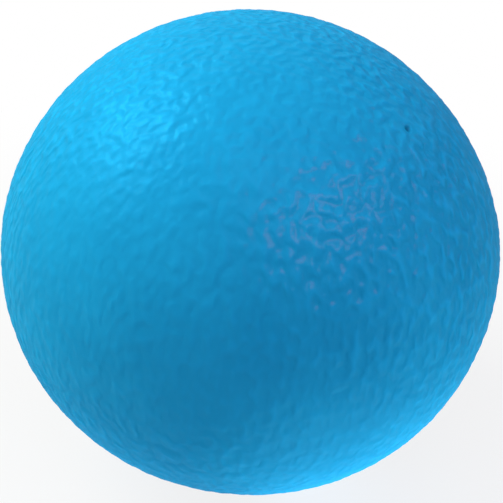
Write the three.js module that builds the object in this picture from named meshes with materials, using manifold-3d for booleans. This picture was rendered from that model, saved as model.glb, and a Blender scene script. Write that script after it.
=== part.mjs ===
// Soft inflatable therapy ball, filled with air and resting on a level surface.
// Three pieces: the hollow moulded skin, the valve seat fused into its wall, and the stopper that pulls out.
// Millimetres, +Z up. The origin is the middle of the flat patch that the ball rests on.
// The valve faces +Y, level with the ball's widest girth.
import * as THREE from "three";
import { mergeVertices } from "three/addons/utils/BufferGeometryUtils.js";
import Module from "manifold-3d";

// The ball at rest: its own weight flattens the soft skin a little.
const ballDiameter = 220;
const ballHeight = 209.5;
const contactPatchDiameter = 34;
const contactBlendHeight = 0.8;
const skinThickness = 1.8;

// The valve seat: a neck through the skin, a flange against its inner face and a sleeve into the ball.
const boreMouthDiameter = 10.6;
const boreEndDiameter = 9.4;
const boreLeadIn = 0.6;
const seatNeckWall = 1.8;
const seatSleeveEndWall = 1.6;
const seatSleeveLength = 11.5;
const seatFlangeWidth = 8.5;
const seatFlangeThickness = 2;
const seatRootFillet = 1.2;
const seatEdgeChamfer = 0.5;

// The stopper: a domed head that a fingernail lifts, and a tapered hollow stem with sealing ribs.
const headOverhang = 1.5;
const headRimThickness = 1.1;
const headDomeHeight = 0.9;
const headUndercut = 0.5;
const headSink = 0.3;
const stemOverrun = 1.6;
const stemWall = 1.4;
const stemTipRounding = 1.2;
const stemRootThickness = 4.5;
const ribCount = 3;
const ribFirstDepth = 3.2;
const ribLength = 1.6;
const ribHeight = 0.45;

// The shallow dish in the skin round the stopper's head, and the thicker pad of skin behind it.
const fingernailGap = 2.5;
const dishWallRadius = 9;
const padThickness = 3.4;
const padMargin = 4;
const padDraft = 1.5;

// Gaps left between pieces that touch.
const bondGap = 0.3;
const stopperGap = 0.3;

// Facets.
const outerGirthFacets = 60;
const outerRings = 36;
const innerGirthFacets = 40;
const innerRings = 24;
const valveFacets = 32;
const arcSteps = 6;

const ballRadius = ballDiameter / 2;
const patchAngle = Math.asin(contactPatchDiameter / ballDiameter);
const halfHeight = (ballHeight + contactBlendHeight) / (1 + Math.cos(patchAngle));
const girthHeight = ballHeight - halfHeight;
const neckRadius = boreMouthDiameter / 2 + seatNeckWall;
const flangeRadius = neckRadius + seatFlangeWidth;
const headRadius = neckRadius + headOverhang;

// Depths run in from the ball's surface along the valve's axis.
const headRimDepth = headSink + headDomeHeight;
const headSeatDepth = headRimDepth + headRimThickness;
const dishDepth = headSeatDepth + stopperGap;
const padInnerDepth = dishDepth + padThickness;
const flangeOuterDepth = padInnerDepth + bondGap;
const flangeInnerDepth = flangeOuterDepth + seatFlangeThickness;
const sleeveEndDepth = flangeInnerDepth + seatSleeveLength;
const stemTipDepth = sleeveEndDepth + stemOverrun;

const wasm = await Module();
wasm.setup();

const skinMaterial = new THREE.MeshStandardMaterial({ color: 0x1d9fd8, roughness: 0.5, metalness: 0 });
const seatMaterial = new THREE.MeshStandardMaterial({ color: 0x1787bd, roughness: 0.4, metalness: 0 });
const stopperMaterial = new THREE.MeshStandardMaterial({ color: 0xf1f2ee, roughness: 0.45, metalness: 0 });

// A closed geometry as a solid that can be joined and cut.
function toSolid(geometry) {
  const bare = geometry.clone();
  bare.deleteAttribute("normal");
  bare.deleteAttribute("uv");
  const merged = mergeVertices(bare);
  return new wasm.Manifold(new wasm.Mesh({
    numProp: 3,
    vertProperties: merged.attributes.position.array,
    triVerts: new Uint32Array(merged.index.array),
  }));
}

function toGeometry(solid) {
  const mesh = solid.getMesh();
  const geometry = new THREE.BufferGeometry();
  geometry.setAttribute("position", new THREE.BufferAttribute(mesh.vertProperties, 3));
  geometry.setIndex(new THREE.BufferAttribute(mesh.triVerts, 1));
  geometry.computeVertexNormals();
  return geometry;
}

// Points of an arc in a profile, from one angle to another in radians.
function arc(centreX, centreY, radius, from, to) {
  return Array.from({ length: arcSteps + 1 }, (unused, i) => {
    const angle = from + ((to - from) * i) / arcSteps;
    return [centreX + radius * Math.cos(angle), centreY + radius * Math.sin(angle)];
  });
}

// A revolve about Y of [radius, height] points, listed so that the solid lies on their left.
function revolve(points, facets) {
  return new THREE.LatheGeometry(points.map(([x, y]) => new THREE.Vector2(x, y)), facets);
}

// Larger of a height and the flat it rests on, with a smooth turn between the two.
function settle(height, blend) {
  const overlap = Math.max(blend - Math.abs(height), 0);
  return Math.max(height, 0) + overlap ** 2 / (4 * blend);
}

// The settled ball, or its hollow when inset by the skin's thickness: an ellipsoid with a flat patch below.
function ballForm(inset, girthFacets, rings) {
  const floorCosine = (girthHeight - inset + contactBlendHeight) / (halfHeight - inset);
  const flatAngle = Math.acos(floorCosine);
  const profile = [[0, inset]];
  for (let i = 0; i <= rings; i += 1) {
    const angle = flatAngle + ((Math.PI - flatAngle) * i) / rings;
    const radius = (ballRadius - inset) * Math.sin(angle);
    const height = girthHeight - (halfHeight - inset) * Math.cos(angle);
    profile.push([radius, inset + settle(height - inset, contactBlendHeight)]);
  }
  return revolve(profile, girthFacets).rotateX(Math.PI / 2);
}

// Moves a form drawn about the valve's axis, with its outer end at height 0, to the valve's place on the ball.
function atValve(geometry) {
  return geometry.translate(0, ballRadius, girthHeight);
}

function makeSkin() {
  const dishTop = dishWallRadius - dishDepth;
  const dish = atValve(revolve([
    [0, -dishDepth],
    ...arc(headRadius + fingernailGap, dishTop, dishWallRadius, -Math.PI / 2, 0),
    [0, dishTop],
  ], valveFacets));
  const neckHole = atValve(revolve([
    [0, -flangeOuterDepth],
    [neckRadius + bondGap, -flangeOuterDepth],
    [neckRadius + bondGap, 0],
    [0, 0],
  ], valveFacets));
  const pad = atValve(revolve([
    [0, -padInnerDepth],
    [flangeRadius + padMargin, -padInnerDepth],
    [flangeRadius + padMargin + padDraft, 0],
    [0, 0],
  ], valveFacets));
  const hollow = toSolid(ballForm(skinThickness, innerGirthFacets, innerRings)).subtract(toSolid(pad));
  const skin = toSolid(ballForm(0, outerGirthFacets, outerRings))
    .subtract(hollow)
    .subtract(toSolid(dish))
    .subtract(toSolid(neckHole));
  const mesh = new THREE.Mesh(toGeometry(skin), skinMaterial);
  mesh.name = "ball_skin";
  return mesh;
}

function makeSeat() {
  const mouthRadius = boreMouthDiameter / 2;
  const sleeveEndRadius = boreEndDiameter / 2 + seatSleeveEndWall;
  const outline = [
    [boreEndDiameter / 2, -sleeveEndDepth],
    [sleeveEndRadius - seatEdgeChamfer, -sleeveEndDepth],
    [sleeveEndRadius, -sleeveEndDepth + seatEdgeChamfer],
    ...arc(
      neckRadius + seatRootFillet, -flangeInnerDepth - seatRootFillet, seatRootFillet, Math.PI, Math.PI / 2,
    ),
    [flangeRadius - seatEdgeChamfer, -flangeInnerDepth],
    [flangeRadius, -flangeInnerDepth + seatEdgeChamfer],
    [flangeRadius, -flangeOuterDepth],
    [neckRadius, -flangeOuterDepth],
    [neckRadius, -dishDepth],
    [mouthRadius + boreLeadIn, -dishDepth],
    [mouthRadius, -dishDepth - boreLeadIn],
    [boreEndDiameter / 2, -sleeveEndDepth],
  ];
  const mesh = new THREE.Mesh(revolve(outline, valveFacets), seatMaterial);
  mesh.name = "valve_seat";
  return mesh;
}

// Radius of the stem's ribs at a depth: the tapered bore, less the stopper's gap.
function ribRadius(depth) {
  const along = (depth - dishDepth - boreLeadIn) / (sleeveEndDepth - dishDepth - boreLeadIn);
  return THREE.MathUtils.lerp(boreMouthDiameter, boreEndDiameter, along) / 2 - stopperGap;
}

function makeStopper() {
  const domeRadius = (headRadius ** 2 + headDomeHeight ** 2) / (2 * headDomeHeight);
  const domeAngle = Math.asin(headRadius / domeRadius);
  const tipRadius = ribRadius(stemTipDepth) - ribHeight;
  const coreRadius = tipRadius - stemWall;
  const coreFloorDepth = headSeatDepth + stemRootThickness;
  const ribsStart = headSeatDepth + ribFirstDepth;
  const ribPitch = (stemTipDepth - stemTipRounding - ribsStart) / ribCount;
  const ribs = Array.from({ length: ribCount }, (unused, i) => {
    const start = ribsStart + i * ribPitch;
    const end = start + ribLength;
    return [
      [ribRadius(end) - ribHeight, -end],
      [ribRadius(end - ribHeight), -end + ribHeight],
      [ribRadius(start), -start],
      [ribRadius(start) - ribHeight, -start],
    ];
  }).reverse().flat();
  const outline = [
    [0, -coreFloorDepth],
    [coreRadius, -coreFloorDepth],
    [coreRadius, -stemTipDepth],
    ...arc(tipRadius - stemTipRounding, -stemTipDepth + stemTipRounding, stemTipRounding, -Math.PI / 2, 0),
    ...ribs,
    [ribRadius(headSeatDepth) - ribHeight, -headSeatDepth],
    [headRadius - headUndercut, -headSeatDepth],
    [headRadius, -headSeatDepth + headUndercut],
    ...arc(0, -headSink - domeRadius, domeRadius, Math.PI / 2 - domeAngle, Math.PI / 2),
  ];
  const mesh = new THREE.Mesh(revolve(outline, valveFacets), stopperMaterial);
  mesh.name = "valve_stopper";
  return mesh;
}

const valve = new THREE.Group();
valve.position.set(0, ballRadius, girthHeight);
valve.add(makeSeat(), makeStopper());

const therapyBall = new THREE.Group();
therapyBall.add(makeSkin(), valve);

export default therapyBall;
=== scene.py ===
import math
import bpy
import numpy as np
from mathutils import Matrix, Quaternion, Vector


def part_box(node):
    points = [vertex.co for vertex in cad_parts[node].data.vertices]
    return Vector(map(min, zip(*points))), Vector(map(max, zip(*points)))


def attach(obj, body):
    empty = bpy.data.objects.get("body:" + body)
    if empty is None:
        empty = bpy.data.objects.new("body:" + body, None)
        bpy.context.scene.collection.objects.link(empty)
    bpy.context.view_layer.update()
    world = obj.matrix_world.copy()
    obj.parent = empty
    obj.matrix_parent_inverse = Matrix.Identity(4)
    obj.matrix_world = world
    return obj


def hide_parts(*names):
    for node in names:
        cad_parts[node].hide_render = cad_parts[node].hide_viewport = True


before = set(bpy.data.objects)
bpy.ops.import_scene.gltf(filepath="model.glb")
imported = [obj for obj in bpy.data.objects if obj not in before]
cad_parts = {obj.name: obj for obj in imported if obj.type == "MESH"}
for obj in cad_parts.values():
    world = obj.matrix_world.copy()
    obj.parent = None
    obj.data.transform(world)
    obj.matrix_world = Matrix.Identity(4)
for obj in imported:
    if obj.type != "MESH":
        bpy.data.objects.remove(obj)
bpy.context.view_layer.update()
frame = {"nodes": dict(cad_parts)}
print("frame loaded:", ", ".join(frame["nodes"]))

# The ball's own sizes, in metres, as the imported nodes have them
skinLow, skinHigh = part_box("ball_skin")
stopperLow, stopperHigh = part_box("valve_stopper")
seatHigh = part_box("valve_seat")[1]
ballRadius = (skinHigh.x - skinLow.x) / 2
girthHeight = (stopperLow.z + stopperHigh.z) / 2
halfHeight = skinHigh.z - girthHeight
headRadius = (stopperHigh.x - stopperLow.x) / 2
dishDepth = ballRadius - seatHigh.y
ballMiddle = Vector((0, 0, girthHeight))


def clearSelection():
    if bpy.context.object and bpy.context.object.mode == "EDIT":
        bpy.ops.object.mode_set(mode="OBJECT")
    bpy.ops.object.select_all(action="DESELECT")


# Selects some of a piece's edges or polygons and stays in edit mode
def selectParts(piece, kind, chosen):
    bpy.context.tool_settings.mesh_select_mode = (False, kind == "edges", kind == "polygons")
    bpy.ops.object.mode_set(mode="EDIT")
    bpy.ops.mesh.select_all(action="DESELECT")
    bpy.ops.object.mode_set(mode="OBJECT")
    getattr(piece.data, kind).foreach_set("select", chosen)
    bpy.ops.object.mode_set(mode="EDIT")


def vertexPlaces(piece):
    places = np.empty(len(piece.data.vertices) * 3)
    piece.data.vertices.foreach_get("co", places)
    return places.reshape(-1, 3)


def placeVertices(piece, places):
    piece.data.vertices.foreach_set("co", places.ravel())
    piece.data.update()


def faceCentres(piece):
    centres = np.empty(len(piece.data.polygons) * 3)
    piece.data.polygons.foreach_get("center", centres)
    return centres.reshape(-1, 3)


def fromValveAxis(places):
    return np.hypot(places[:, 0], places[:, 2] - girthHeight)


# Selects the open edges beyond a distance from the valve's axis, and stays in edit mode
def selectOpenEdges(piece, beyond=0):
    mesh = piece.data
    loopEdges = np.empty(len(mesh.loops), int)
    mesh.loops.foreach_get("edge_index", loopEdges)
    ends = np.empty(len(mesh.edges) * 2, int)
    mesh.edges.foreach_get("vertices", ends)
    middles = vertexPlaces(piece)[ends.reshape(-1, 2)].mean(axis=1)
    isOpen = np.bincount(loopEdges, minlength=len(mesh.edges)) == 1
    selectParts(piece, "edges", isOpen & (fromValveAxis(middles) > beyond))


def joinPieces(main, other):
    clearSelection()
    other.select_set(True)
    main.select_set(True)
    bpy.context.view_layer.objects.active = main
    bpy.ops.object.join()


def smoothStep(value, low, high):
    share = np.clip((value - low) / (high - low), 0, 1)
    return share * share * (3 - 2 * share)


# The positive part of a value, with its corner at zero rounded off
def softPositive(value, blend):
    overlap = np.maximum(blend - np.abs(value), 0)
    return np.maximum(value, 0) + overlap ** 2 / (4 * blend)


# Forms turned about the valve's axis: rings of (radius, depth in from the ball's surface)
turnedSet = {
    "cornerPoints": 5,       # rings on each rounded corner
    "mergeDistance": 1e-6,
    "smoothAngle": 35,       # degrees, past which an edge stays sharp
}


def valveAt(depth):
    return (0, ballRadius - depth, girthHeight)


def extrudeRings(rings):   # from a selected open ring that lies at the first of them
    for (radius, depth), (nextRadius, nextDepth) in zip(rings, rings[1:]):
        bpy.ops.mesh.extrude_edges_move(TRANSFORM_OT_translate={"value": (0, depth - nextDepth, 0)})
        scale = nextRadius / radius
        bpy.ops.transform.resize(value=(scale, 1, scale), center_override=valveAt(nextDepth))


def turnRings(name, rings, sides):
    clearSelection()
    radius, depth = rings[0]
    bpy.ops.mesh.primitive_circle_add(
        vertices=sides, radius=radius, location=valveAt(depth), rotation=(math.pi / 2, 0, 0))
    piece = bpy.context.object
    piece.name = name
    bpy.ops.object.transform_apply(location=True, rotation=True, scale=True)
    bpy.context.tool_settings.mesh_select_mode = (False, True, False)
    bpy.ops.object.mode_set(mode="EDIT")
    bpy.ops.mesh.select_all(action="SELECT")
    extrudeRings(rings)
    bpy.ops.object.mode_set(mode="OBJECT")
    return piece


# Rings of a profile whose corners, (radius, depth, trim), are rounded off over the length of their trim
def roundedRings(corners):
    rings = []
    for index, (radius, depth, trim) in enumerate(corners):
        corner = np.array((radius, depth))
        if trim == 0:
            rings.append((radius, depth))
            continue
        before = np.array(corners[index - 1][:2]) - corner
        after = np.array(corners[(index + 1) % len(corners)][:2]) - corner
        start = corner + before * trim / np.linalg.norm(before)
        end = corner + after * trim / np.linalg.norm(after)
        for share in np.linspace(0, 1, turnedSet["cornerPoints"]):
            left = 1 - share
            rings.append(tuple(left ** 2 * start + 2 * share * left * corner + share ** 2 * end))
    return rings


def finishTurned(piece, material):
    bpy.ops.object.mode_set(mode="EDIT")
    bpy.ops.mesh.select_all(action="SELECT")
    bpy.ops.mesh.remove_doubles(threshold=turnedSet["mergeDistance"])
    bpy.ops.mesh.fill_holes(sides=0)
    bpy.ops.mesh.normals_make_consistent(inside=False)
    bpy.ops.object.mode_set(mode="OBJECT")
    bpy.ops.object.shade_smooth_by_angle(angle=math.radians(turnedSet["smoothAngle"]))
    piece.data.materials.append(material)


# Azimuth 0 is the camera's side and 90 the right, in degrees
def towards(azimuth, elevation):
    turn = math.radians(azimuth)
    rise = math.radians(elevation)
    level = math.cos(rise)
    return Vector((math.sin(turn) * level, -math.cos(turn) * level, math.sin(rise)))


# Camera: the photograph's view, from above the front
cameraSet = {
    "elevation": 30,
    "roll": 3.5,                  # degrees, the photograph's slight tilt
    "lens": 70,                   # millimetres
    "distance": 0.4445,           # from the point that it looks at
    "aim": (0.00045, -0.00045),   # that point, right of and above the ball's middle
    "clipStart": 0.01,
}


def makeCamera():
    back = towards(0, cameraSet["elevation"])
    up = towards(180, 90 - cameraSet["elevation"])
    right, above = cameraSet["aim"]
    aim = ballMiddle + Vector((right, 0, 0)) + up * above
    bpy.ops.object.camera_add(location=aim + back * cameraSet["distance"])
    camera = bpy.context.object
    camera.data.lens = cameraSet["lens"]
    camera.data.clip_start = cameraSet["clipStart"]
    camera.rotation_mode = "QUATERNION"
    roll = Quaternion((0, 0, 1), math.radians(cameraSet["roll"]))
    camera.rotation_quaternion = (-back).to_track_quat("-Z", "Y") @ roll
    bpy.context.scene.camera = camera


# Lamps, powers in watts: one that glints shows only in the gloss, and the others only light the surface
lampSet = {
    "key": {
        "azimuth": 265, "elevation": 45, "distance": 1.2, "size": (0.8, 0.8),
        "power": 15.2, "colour": (1, 1, 0.8), "glints": False},
    "top": {
        "azimuth": 0, "elevation": 70, "distance": 1.2, "size": (0.6, 0.6),
        "power": 5.6, "colour": (0.86, 0.86, 1), "glints": False},
    "right": {
        "azimuth": 75, "elevation": 3, "distance": 1.2, "size": (0.6, 0.6),
        "power": 5.4, "colour": (1, 1, 0.92), "glints": False},
    "behind": {
        "azimuth": 190, "elevation": 30, "distance": 1.2, "size": (0.8, 0.8),
        "power": 3.0, "colour": (1, 1, 0.9), "glints": False},
    "rightGlow": {
        "azimuth": 44, "distance": 0.14, "height": 0.003, "size": (0.16, 0.14),
        "power": 0.18, "colour": (1, 1, 0.97), "glints": False},
    "leftGlow": {
        "azimuth": 310, "distance": 0.15, "height": 0.003, "size": (0.16, 0.16),
        "power": 0.06, "colour": (1, 1, 1), "glints": False},
    "pinkGlint": {
        "azimuth": 48, "elevation": 46, "distance": 1.2, "size": (1.1, 0.14),
        "power": 11.2, "colour": (1, 0.005, 0.05), "glints": True},
    "skyGlint": {
        "azimuth": 257, "elevation": 47, "distance": 1.2, "size": (0.42, 0.42),
        "power": 11, "colour": (0.09, 0.93, 1), "glints": True},
}


def makeLamps():
    for name, lamp in lampSet.items():
        if "height" in lamp:   # lies flat by the ball's foot and shines up
            place = towards(lamp["azimuth"], 0) * lamp["distance"]
            place.z = lamp["height"]
            facing = Vector((0, 0, 1))
        else:
            away = towards(lamp["azimuth"], lamp["elevation"])
            place = ballMiddle + away * lamp["distance"]
            facing = -away
        bpy.ops.object.light_add(type="AREA", location=place)
        light = bpy.context.object
        light.name = name + "Lamp"
        light.rotation_mode = "QUATERNION"
        light.rotation_quaternion = facing.to_track_quat("-Z", "Y")
        light.data.shape = "RECTANGLE"
        light.data.size, light.data.size_y = lamp["size"]
        light.data.energy = lamp["power"]
        light.data.color = lamp["colour"]
        light.visible_glossy = lamp["glints"]
        light.visible_diffuse = not lamp["glints"]


# Nodes that the materials and the surround share
def mathNode(tree, operation, first, second):
    node = tree.nodes.new("ShaderNodeMath")
    node.operation = operation
    for socket, value in zip(node.inputs, (first, second)):
        if isinstance(value, bpy.types.NodeSocket):
            tree.links.new(value, socket)
        else:
            socket.default_value = value
    return node.outputs[0]


def rangeNode(tree, value, fromRange, toRange, kind="LINEAR"):
    node = tree.nodes.new("ShaderNodeMapRange")
    node.interpolation_type = kind
    node.inputs["From Min"].default_value, node.inputs["From Max"].default_value = fromRange
    node.inputs["To Min"].default_value, node.inputs["To Max"].default_value = toRange
    tree.links.new(value, node.inputs["Value"])
    return node.outputs["Result"]


def mixNode(tree, share, first, second):
    node = tree.nodes.new("ShaderNodeMixShader")
    tree.links.new(share, node.inputs["Fac"])
    tree.links.new(first, node.inputs[1])
    tree.links.new(second, node.inputs[2])
    return node.outputs["Shader"]


def objectPlace(tree):
    return tree.nodes.new("ShaderNodeTexCoord").outputs["Object"]


def attributeNode(tree, name):
    node = tree.nodes.new("ShaderNodeAttribute")
    node.attribute_name = name
    return node.outputs["Fac"]


def noiseNode(tree, place, pitch, detail, twist=0):
    node = tree.nodes.new("ShaderNodeTexNoise")
    node.inputs["Scale"].default_value = 1 / pitch
    node.inputs["Detail"].default_value = detail
    node.inputs["Distortion"].default_value = twist
    tree.links.new(place, node.inputs["Vector"])
    return node.outputs["Fac"]


def bumpNode(tree, relief, height, under=None):
    node = tree.nodes.new("ShaderNodeBump")
    node.inputs["Distance"].default_value = height
    tree.links.new(relief, node.inputs["Height"])
    if under:
        tree.links.new(under, node.inputs["Normal"])
    return node.outputs["Normal"]


# 1 on rays that show the background: straight from the camera, mirrored, or through a clear piece
def seenDirectly(tree):
    rays = tree.nodes.new("ShaderNodeLightPath").outputs
    seen = mathNode(tree, "MAXIMUM", rays["Is Camera Ray"], rays["Is Glossy Ray"])
    return mathNode(tree, "MAXIMUM", seen, rays["Is Transmission Ray"])


surroundSet = {
    "ambientColour": (0.1, 0.1, 1, 1),
    "ambientStrength": 0.09,
    "seen": (1, 1, 1, 1),   # what shows as background
}


def makeSurround():
    world = bpy.data.worlds.new("studio")
    bpy.context.scene.world = world
    world.use_nodes = True
    tree = world.node_tree
    ambient = tree.nodes["Background"]
    ambient.inputs["Color"].default_value = surroundSet["ambientColour"]
    ambient.inputs["Strength"].default_value = surroundSet["ambientStrength"]
    white = tree.nodes.new("ShaderNodeBackground")
    white.inputs["Color"].default_value = surroundSet["seen"]
    mixed = mixNode(tree, seenDirectly(tree), ambient.outputs["Background"], white.outputs["Background"])
    tree.links.new(mixed, tree.nodes["World Output"].inputs["Surface"])


floorSet = {
    "size": 8,
    "colour": (0.6, 0.6, 0.6, 1),
    "roughness": 0.9,
    "whitened": (0.85, 1),       # share of plain white that is seen beside the ball and away from it
    "whiteFrom": (0.12, 0.45),   # distances from the ball's foot where the one goes over to the other
}


def makeFloor():
    clearSelection()
    bpy.ops.mesh.primitive_plane_add(size=floorSet["size"])
    floor = bpy.context.object
    floor.name = "floor"
    material = bpy.data.materials.new("paleFloor")
    material.use_nodes = True
    tree = material.node_tree
    matte = tree.nodes["Principled BSDF"]
    matte.inputs["Base Color"].default_value = floorSet["colour"]
    matte.inputs["Roughness"].default_value = floorSet["roughness"]
    matte.inputs["Specular IOR Level"].default_value = 0
    white = tree.nodes.new("ShaderNodeEmission")
    away = tree.nodes.new("ShaderNodeVectorMath")
    away.operation = "LENGTH"
    tree.links.new(objectPlace(tree), away.inputs[0])
    whitened = rangeNode(
        tree, away.outputs["Value"], floorSet["whiteFrom"], floorSet["whitened"], "SMOOTHSTEP")
    share = mathNode(tree, "MULTIPLY", seenDirectly(tree), whitened)
    mixed = mixNode(tree, share, matte.outputs["BSDF"], white.outputs["Emission"])
    tree.links.new(mixed, tree.nodes["Material Output"].inputs["Surface"])
    floor.data.materials.append(material)


# Finishes: "sockets" are the shader values that are the same all over the surface
noiseSpan = (0.3, 0.7)   # where nearly all values of a noise lie
skinFinish = {
    "tones": ((0.009, 0.335, 0.65, 1), (0.011, 0.37, 0.70, 1)),
    "mottle": (0.03, 3),             # pitch and detail of the change between the tones
    "roughness": (0.46, 0.56),
    "roughMottle": (0.012, 2),
    "sockets": {
        "Specular IOR Level": 0,
        "Metallic": 0.08,            # share of pigment that shines in the skin's own colour
        "Specular Tint": (0.3, 0.8, 1, 1),
        "Coat Weight": 0.08,         # clear sheen over the pigment
        "Coat Roughness": 0.2,
    },
    "mask": "grain",                 # attribute that says how strong the grain is
    "paintedPitShade": "paintedPitShade",                # attribute of painted shade: how much of the colour is left, less in the pit
    "bumps": ((0.0034, 0.0014, 0.3, 0.2), (0.0009, 0.00004, 1, 0)),   # pitch, height, detail and twist
    "squeeze": 0.62,                 # below 1, the bumps run longer up and down
    "ridges": (0.42, 0.80),          # heights on the first bumps where a painted highlight turns their tops paler
    # how much paler the painted highlight makes the grain tops
    "ridgePaintedHighlight": 0.16,
    "sheenBump": 0.0026,             # height of the first bumps in the sheen
}
seatFinish = {
    "tones": ((0.008, 0.21, 0.46, 1), (0.010, 0.25, 0.52, 1)),
    "mottle": (0.006, 3),
    "roughness": (0.3, 0.42),
    "roughMottle": (0.003, 2),
    "sockets": {"Specular IOR Level": 0.3},
    "bumps": ((0.0012, 0.00004, 1, 0),),
    "squeeze": 1,
}
stopperFinish = {
    "tones": ((0.80, 0.81, 0.78, 1), (0.86, 0.87, 0.84, 1)),
    "mottle": (0.008, 3),
    "roughness": (0.32, 0.45),
    "roughMottle": (0.002, 2),
    "sockets": {"Specular IOR Level": 0.45},
    "bumps": ((0.0008, 0.00003, 1, 0),),
    "squeeze": 1,
}


# The value, times the strength of the grain where the finish has any
def masked(tree, settings, value):
    if "mask" not in settings:
        return value
    return mathNode(tree, "MULTIPLY", value, attributeNode(tree, settings["mask"]))


# The colour with a painted highlight on the tops of the grain and painted shade darkening the pit
def paintHighlightAndShade(tree, settings, colour, relief):
    ridgeHighlight = rangeNode(tree, relief, settings["ridges"], (0, settings["ridgePaintedHighlight"]), "SMOOTHSTEP")
    paintedHighlightScale = mathNode(tree, "ADD", masked(tree, settings, ridgeHighlight), 1)
    paintedLightScale = mathNode(tree, "MULTIPLY", paintedHighlightScale, attributeNode(tree, settings["paintedPitShade"]))
    scale = tree.nodes.new("ShaderNodeVectorMath")
    scale.operation = "SCALE"
    tree.links.new(colour, scale.inputs[0])
    tree.links.new(paintedLightScale, scale.inputs["Scale"])
    return scale.outputs["Vector"]


# A material whose colour wanders between two tones and whose surface has one or more sizes of bumps on it
def makeMaterial(name, settings):
    material = bpy.data.materials.new(name)
    material.use_nodes = True
    tree = material.node_tree
    shader = tree.nodes["Principled BSDF"]
    for socket, value in settings["sockets"].items():
        shader.inputs[socket].default_value = value
    place = objectPlace(tree)

    ramp = tree.nodes.new("ShaderNodeValToRGB")
    for element, position, tone in zip(ramp.color_ramp.elements, noiseSpan, settings["tones"]):
        element.position = position
        element.color = tone
    tree.links.new(noiseNode(tree, place, *settings["mottle"]), ramp.inputs["Fac"])
    colour = ramp.outputs["Color"]

    patches = noiseNode(tree, place, *settings["roughMottle"])
    tree.links.new(rangeNode(tree, patches, noiseSpan, settings["roughness"]), shader.inputs["Roughness"])

    squeeze = tree.nodes.new("ShaderNodeVectorMath")
    squeeze.operation = "MULTIPLY"
    squeeze.inputs[1].default_value = (1, 1, settings["squeeze"])
    tree.links.new(place, squeeze.inputs[0])
    reliefs = []
    normal = None
    for pitch, height, detail, twist in settings["bumps"]:
        relief = noiseNode(tree, squeeze.outputs["Vector"], pitch, detail, twist)
        normal = bumpNode(tree, masked(tree, settings, relief), height, normal)
        reliefs.append(relief)
    tree.links.new(normal, shader.inputs["Normal"])

    if "sheenBump" in settings:
        sheen = bumpNode(tree, masked(tree, settings, reliefs[0]), settings["sheenBump"])
        tree.links.new(sheen, shader.inputs["Coat Normal"])
    # Painted highlight on the grain tops and painted shade in the pit, scaled into the base colour
    if "ridges" in settings:
        colour = paintHighlightAndShade(tree, settings, colour, reliefs[0])
    tree.links.new(colour, shader.inputs["Base Color"])
    return material


# Skin: a cube grid rounded to the settled ball, with a dish and a hole at the valve and a coarse inner wall
skinSet = {
    "cells": 120,              # quads along each side of the outer grid
    "windowCells": 28,         # quads across the square that the dish's rings take up
    "bridgeCuts": 3,           # rings between that square and the dish
    "innerCells": 28,
    "innerWindowCells": 8,
    "thickness": 0.0018,
    "floorBlend": 0.0008,      # height of the soft turn into the flat that it rests on
    "dishEdge": 0.0195,        # radius of the outermost ring
    "dishRings": 26,
    "fingernailGap": 0.0025,   # dish floor beyond the stopper's head
    "dishWallRadius": 0.009,
    "dishBlend": 0.0006,       # how softly the dish turns into the ball
    "holeRadius": 0.0074,
    "holeRounding": 0.0004,
    "holeSteps": 4,
    "padDepth": 0.006,
    "padRadius": 0.0196,
    "padFoot": (0.0206, 0.0042),
    "outsideFrom": 0.992,             # share of the ball's radius past which a point is on the outer wall
    "smoothRing": (0.0165, 0.0225),   # radii where the grain begins round the valve
    "smoothFoot": (0.0008, 0.005),    # heights where the grain begins above the floor
    # where the grain is weaker or stronger: direction from the middle, inner and outer radius, and strength
    "grainSpots": (
        ((-0.40, -0.80, 0.44), 0.03, 0.085, 0.5), ((-0.55, -0.80, 0.22), 0.03, 0.08, 0.55),
        ((0.02, -0.58, 0.81), 0.015, 0.07, 0.6), ((0.10, -0.96, -0.27), 0.03, 0.07, 0.5),
        ((-0.03, -0.32, 0.945), 0.02, 0.07, 0.7), ((0.32, -0.775, 0.545), 0.02, 0.06, 0.85),
        ((0.52, -0.83, -0.22), 0.02, 0.06, 0.75), ((0.70, -0.50, 0.51), 0.012, 0.05, 1.5)),
    "wrinklePitch": 0.0036,
    "wrinkleHeight": 0.0009,
    "lumpPitch": 0.06,
    "lumpHeight": 0.0008,
    # where the skin is pushed in: direction from the ball's middle, radius and depth
    "flatSpot": ((0.79, 0.07, 0.61), 0.07, 0.0010),
    "pit": ((0.514, -0.383, 0.768), 0.0021, 0.0012),
    "pitCuts": 4,              # how much finer the grid is at the pit
    "pitReach": 1.6,           # how far that goes, in radii of the pit
    "pitPaintedShadeLeft": 0.45,          # colour left under the painted shade at the bottom of the pit
}


# Places on the settled ball, or as far as the inset under its surface
def onBall(directions, inset=0):
    units = directions / np.linalg.norm(directions, axis=1, keepdims=True)
    places = units * (ballRadius - inset, ballRadius - inset, halfHeight - inset)
    places[:, 2] = inset + softPositive(places[:, 2] + girthHeight - inset, skinSet["floorBlend"])
    return places


def fromSpot(places, direction):
    return np.linalg.norm(places - onBall(np.array([direction])), axis=1)


def addCubeBall(name, cells, windowCells, inset):
    clearSelection()
    bpy.ops.mesh.primitive_cube_add(size=2)
    ball = bpy.context.object
    ball.name = name
    bpy.context.tool_settings.mesh_select_mode = (False, False, True)
    bpy.ops.object.mode_set(mode="EDIT")
    bpy.ops.mesh.subdivide(number_cuts=cells // 2 - 1)   # in two goes, because one takes 100 cuts at most
    bpy.ops.mesh.subdivide(number_cuts=1)
    bpy.ops.object.mode_set(mode="OBJECT")
    centres = faceCentres(ball)
    onValveSide = centres[:, 1] > 1 - 1 / cells
    inWindow = np.abs(centres[:, [0, 2]]).max(axis=1) < windowCells / cells
    selectParts(ball, "polygons", onValveSide & inWindow)
    bpy.ops.mesh.delete(type="FACE")
    bpy.ops.object.mode_set(mode="OBJECT")
    spread = np.tan(vertexPlaces(ball) * math.pi / 4)   # keeps the quads alike once they are round
    placeVertices(ball, onBall(spread, inset))
    return ball


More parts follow.
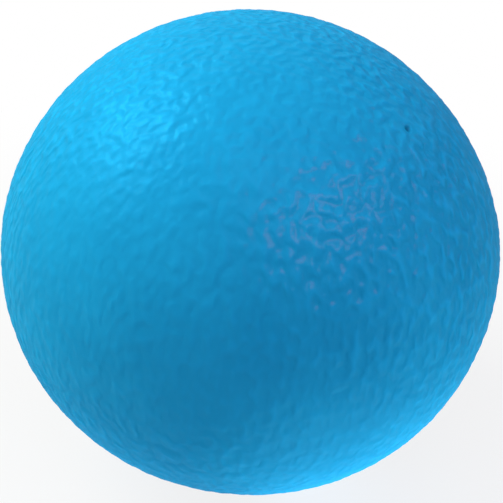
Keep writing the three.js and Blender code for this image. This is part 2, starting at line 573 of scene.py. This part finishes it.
def carveDish(skin):
    places = vertexPlaces(skin)
    fromAxis = fromValveAxis(places)
    near = (places[:, 1] > 0) & (fromAxis < 2 * skinSet["dishEdge"])
    across = (places[near, 0] / ballRadius) ** 2 + ((places[near, 2] - girthHeight) / halfHeight) ** 2
    surface = ballRadius * np.sqrt(1 - across)
    wallRadius = skinSet["dishWallRadius"]
    upWall = np.clip(fromAxis[near] - headRadius - skinSet["fingernailGap"], 0, wallRadius)
    dish = ballRadius - dishDepth + wallRadius - np.sqrt(wallRadius ** 2 - upWall ** 2)
    places[near, 1] = surface - softPositive(surface - dish, skinSet["dishBlend"])
    placeVertices(skin, places)


# Pushes a round patch of the skin in, and gives each vertex's share of the depth
def dentSkin(skin, direction, radius, depth):
    places = vertexPlaces(skin)
    share = 1 - smoothStep(fromSpot(places, direction), 0, radius)
    outward = Vector(direction).normalized()
    placeVertices(skin, places - np.outer(depth * share, outward))
    return share


def addAttribute(skin, name, values):
    skin.data.attributes.new(name, "FLOAT", "POINT").data.foreach_set("value", values)


def makePit(skin):
    direction, radius, depth = skinSet["pit"]
    near = fromSpot(faceCentres(skin), direction) < radius * skinSet["pitReach"]
    selectParts(skin, "polygons", near)
    bpy.ops.mesh.subdivide(number_cuts=skinSet["pitCuts"])
    bpy.ops.object.mode_set(mode="OBJECT")
    # Painted shade: the pit's colour darkens with its depth, as if shade fell in it
    paintedPitShade = 1 - (1 - skinSet["pitPaintedShadeLeft"]) * dentSkin(skin, direction, radius, depth)
    addAttribute(skin, skinFinish["paintedPitShade"], paintedPitShade)


def markGrain(skin):
    places = vertexPlaces(skin)
    scaled = (places - ballMiddle) / (ballRadius, ballRadius, halfHeight)
    outside = np.linalg.norm(scaled, axis=1) > skinSet["outsideFrom"]
    weights = outside * smoothStep(places[:, 2], *skinSet["smoothFoot"])
    byValve = smoothStep(fromValveAxis(places), *skinSet["smoothRing"])
    weights = weights * np.where(places[:, 1] > 0, byValve, 1)
    for direction, near, far, strength in skinSet["grainSpots"]:
        awayFromSpot = smoothStep(fromSpot(places, direction), near, far)
        weights = weights * (strength + (1 - strength) * awayFromSpot)
    addAttribute(skin, skinFinish["mask"], weights)
    grained = skin.vertex_groups.new(name="grained")
    for index in np.nonzero(weights)[0]:
        grained.add([int(index)], weights[index], "REPLACE")


def displace(skin, name, pitch, height):
    texture = bpy.data.textures.new(name, "CLOUDS")
    texture.noise_basis = "IMPROVED_PERLIN"
    texture.noise_type = "SOFT_NOISE"
    texture.noise_scale = pitch
    texture.noise_depth = 0
    modifier = skin.modifiers.new(name, "DISPLACE")
    modifier.texture = texture
    modifier.texture_coords = "LOCAL"
    modifier.strength = height
    modifier.vertex_group = "grained"
    bpy.ops.object.modifier_apply(modifier=name)


# A ball with a square window at the valve, which is filled with rings round the hole
def makeOuterWall():
    skin = addCubeBall("grained_skin", skinSet["cells"], skinSet["windowCells"], 0)
    dishEdge = skinSet["dishEdge"]
    holeEdge = skinSet["holeRadius"] + skinSet["holeRounding"]
    rings = [(radius, 0) for radius in np.linspace(dishEdge, holeEdge, skinSet["dishRings"])]
    joinPieces(skin, turnRings("dish", rings, 4 * skinSet["windowCells"]))
    selectOpenEdges(skin, beyond=(dishEdge + holeEdge) / 2)
    bpy.ops.mesh.bridge_edge_loops(number_cuts=skinSet["bridgeCuts"], interpolation="LINEAR")
    bpy.ops.object.mode_set(mode="OBJECT")
    carveDish(skin)
    print("skin: outer wall and dish,", len(skin.data.polygons), "faces")
    return skin


# Over the hole's rounded edge, down the hole, under the pad and out to the inner wall
def addInside(skin):
    holeRadius = skinSet["holeRadius"]
    rounding = skinSet["holeRounding"]
    rings = []
    for angle in np.linspace(0, math.pi / 2, skinSet["holeSteps"] + 1):
        radius = holeRadius + rounding * (1 - math.sin(angle))
        rings.append((radius, dishDepth + rounding * (1 - math.cos(angle))))
    rings.append((holeRadius, skinSet["padDepth"]))
    rings.append((skinSet["padRadius"], skinSet["padDepth"]))
    rings.append(skinSet["padFoot"])
    selectOpenEdges(skin)
    extrudeRings(rings)
    bpy.ops.object.mode_set(mode="OBJECT")
    inner = addCubeBall(
        "inner_wall", skinSet["innerCells"], skinSet["innerWindowCells"], skinSet["thickness"])
    bpy.ops.object.mode_set(mode="EDIT")
    bpy.ops.mesh.select_all(action="SELECT")
    bpy.ops.mesh.flip_normals()
    bpy.ops.object.mode_set(mode="OBJECT")
    joinPieces(skin, inner)
    selectOpenEdges(skin)
    bpy.ops.mesh.bridge_edge_loops()
    bpy.ops.mesh.select_all(action="SELECT")
    bpy.ops.mesh.normals_make_consistent(inside=False)
    bpy.ops.object.mode_set(mode="OBJECT")


def makeSkin():
    skin = makeOuterWall()
    addInside(skin)
    markGrain(skin)
    displace(skin, "lumps", skinSet["lumpPitch"], skinSet["lumpHeight"])
    displace(skin, "wrinkles", skinSet["wrinklePitch"], skinSet["wrinkleHeight"])
    dentSkin(skin, *skinSet["flatSpot"])
    makePit(skin)
    bpy.ops.object.shade_smooth()
    skin.data.materials.append(makeMaterial("grainedSkin", skinFinish))
    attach(skin, "ball")
    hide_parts("ball_skin")
    print("skin: grained,", len(skin.data.polygons), "faces")


# Seat: neck through the skin, flange behind it and a tapered sleeve, turned about the valve's axis
seatSet = {
    "sides": 64,
    # corners of the profile: radius, depth and trim
    "corners": {
        "boreEnd": (0.0047, 0.0198, 0.0003),
        "sleeveEnd": (0.0063, 0.0198, 0.0005),
        "sleeveRoot": (0.0071, 0.0083, 0.0012),
        "flangeBack": (0.0156, 0.0083, 0.0006),
        "flangeFront": (0.0156, 0.0063, 0.0002),
        "neckRoot": (0.00725, 0.0063, 0.0002),
        "neckEdge": (0.00725, 0.0026, 0.0003),
        "boreLip": (0.0059, 0.0026, 0.0002),
        "boreMouth": (0.0053, 0.0032, 0.0002),
    },
}


def makeSeat():
    rings = roundedRings(list(seatSet["corners"].values()))
    seat = turnRings("fused_seat", rings + rings[:1], seatSet["sides"])
    finishTurned(seat, makeMaterial("seatPvc", seatFinish))
    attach(seat, "ball")
    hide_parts("valve_seat")
    print("seat:", len(seat.data.polygons), "faces")


# Stopper: domed head with a ring groove and a gate mark, and a hollow tapered stem with sealing ribs
stopperSet = {
    "sides": 64,
    "headTop": 0.0003,          # depth of the dome's middle
    "domeHeight": 0.0009,
    "domeRings": (0.0075, 0.0038, 0.0022),   # radii of plain rings outside and inside the groove
    "headSeat": 0.0023,         # depth of the head's underside
    "undercut": 0.0005,
    "groove": (0.0056, 0.0062, 0.00022),     # inner and outer radius and depth
    "grooveWall": 0.0002,       # how far its walls slope
    "gate": (0.0009, 0.00025),               # radius and depth of the mark at the middle
    "gateWall": 0.0003,
    "neckRadius": 0.0046,
    "ribRadius": 0.00531,       # at the ball's surface, before the taper
    "taper": 0.0361,
    "ribStarts": (0.0055, 0.0104, 0.0153),
    "ribLength": 0.0016,
    "ribHeight": 0.00062,
    "tip": (0.0039, 0.0214, 0.0011),         # radius, depth and trim
    "core": (0.0025, 0.0068),                # radius, and depth of its floor
    "coreMiddle": 0.0004,       # radius inside which its floor is one face
    "gateMiddle": 0.0003,
    "trims": {"edge": 0.0002, "root": 0.0003, "rim": 0.0004, "core": 0.0006, "mark": 0.0001},
}


def ribRadiusAt(depth):
    return stopperSet["ribRadius"] - stopperSet["taper"] * depth


# Corners from the hollow core out to the head's underside
def stemCorners():
    trims = stopperSet["trims"]
    coreRadius, coreFloor = stopperSet["core"]
    tipRadius, tipDepth, tipTrim = stopperSet["tip"]
    corners = [
        (stopperSet["coreMiddle"], coreFloor, 0),
        (coreRadius, coreFloor, trims["core"]),
        (coreRadius, tipDepth, trims["root"]),
        (tipRadius, tipDepth, tipTrim),
    ]
    height = stopperSet["ribHeight"]
    for start in reversed(stopperSet["ribStarts"]):
        end = start + stopperSet["ribLength"]
        corners += [
            (ribRadiusAt(end) - height, end, trims["edge"]),
            (ribRadiusAt(end), end - height, trims["root"]),
            (ribRadiusAt(start), start, trims["edge"]),
            (ribRadiusAt(start) - height, start, trims["edge"]),
        ]
    return corners + [(stopperSet["neckRadius"], stopperSet["headSeat"], trims["root"])]


# Corners from the head's underside over its rim and across the dome
def headCorners():
    trims = stopperSet["trims"]
    headSeat = stopperSet["headSeat"]
    undercut = stopperSet["undercut"]
    domeHeight = stopperSet["domeHeight"]
    domeRadius = (headRadius ** 2 + domeHeight ** 2) / (2 * domeHeight)
    grooveIn, grooveOut, grooveDepth = stopperSet["groove"]
    gateRadius, gateDepth = stopperSet["gate"]
    outerRing, middleRing, innerRing = stopperSet["domeRings"]

    def dome(radius, deeper, trim):
        fall = domeRadius - math.sqrt(domeRadius ** 2 - radius ** 2)
        return radius, stopperSet["headTop"] + deeper + fall, trim

    return [
        (headRadius - undercut, headSeat, trims["edge"]),
        (headRadius, headSeat - undercut, trims["edge"]),
        dome(headRadius, 0, trims["rim"]),
        dome(outerRing, 0, 0),
        dome(grooveOut + stopperSet["grooveWall"], 0, trims["mark"]),
        dome(grooveOut, grooveDepth, trims["mark"]),
        dome(grooveIn, grooveDepth, trims["mark"]),
        dome(grooveIn - stopperSet["grooveWall"], 0, trims["mark"]),
        dome(middleRing, 0, 0),
        dome(innerRing, 0, 0),
        dome(gateRadius + stopperSet["gateWall"], 0, trims["mark"]),
        dome(gateRadius, gateDepth, trims["mark"]),
        dome(stopperSet["gateMiddle"], gateDepth, 0),
    ]


def makeStopper():
    rings = roundedRings(stemCorners() + headCorners())
    stopper = turnRings("pull_stopper", rings, stopperSet["sides"])
    finishTurned(stopper, makeMaterial("stopperPlastic", stopperFinish))
    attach(stopper, "stopper")
    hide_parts("valve_stopper")
    print("stopper:", len(stopper.data.polygons), "faces")


bpy.context.scene.view_settings.view_transform = "Standard"
makeCamera()
makeLamps()
makeSurround()
makeFloor()
print("camera, lamps and floor made")
makeSkin()
makeSeat()
makeStopper()
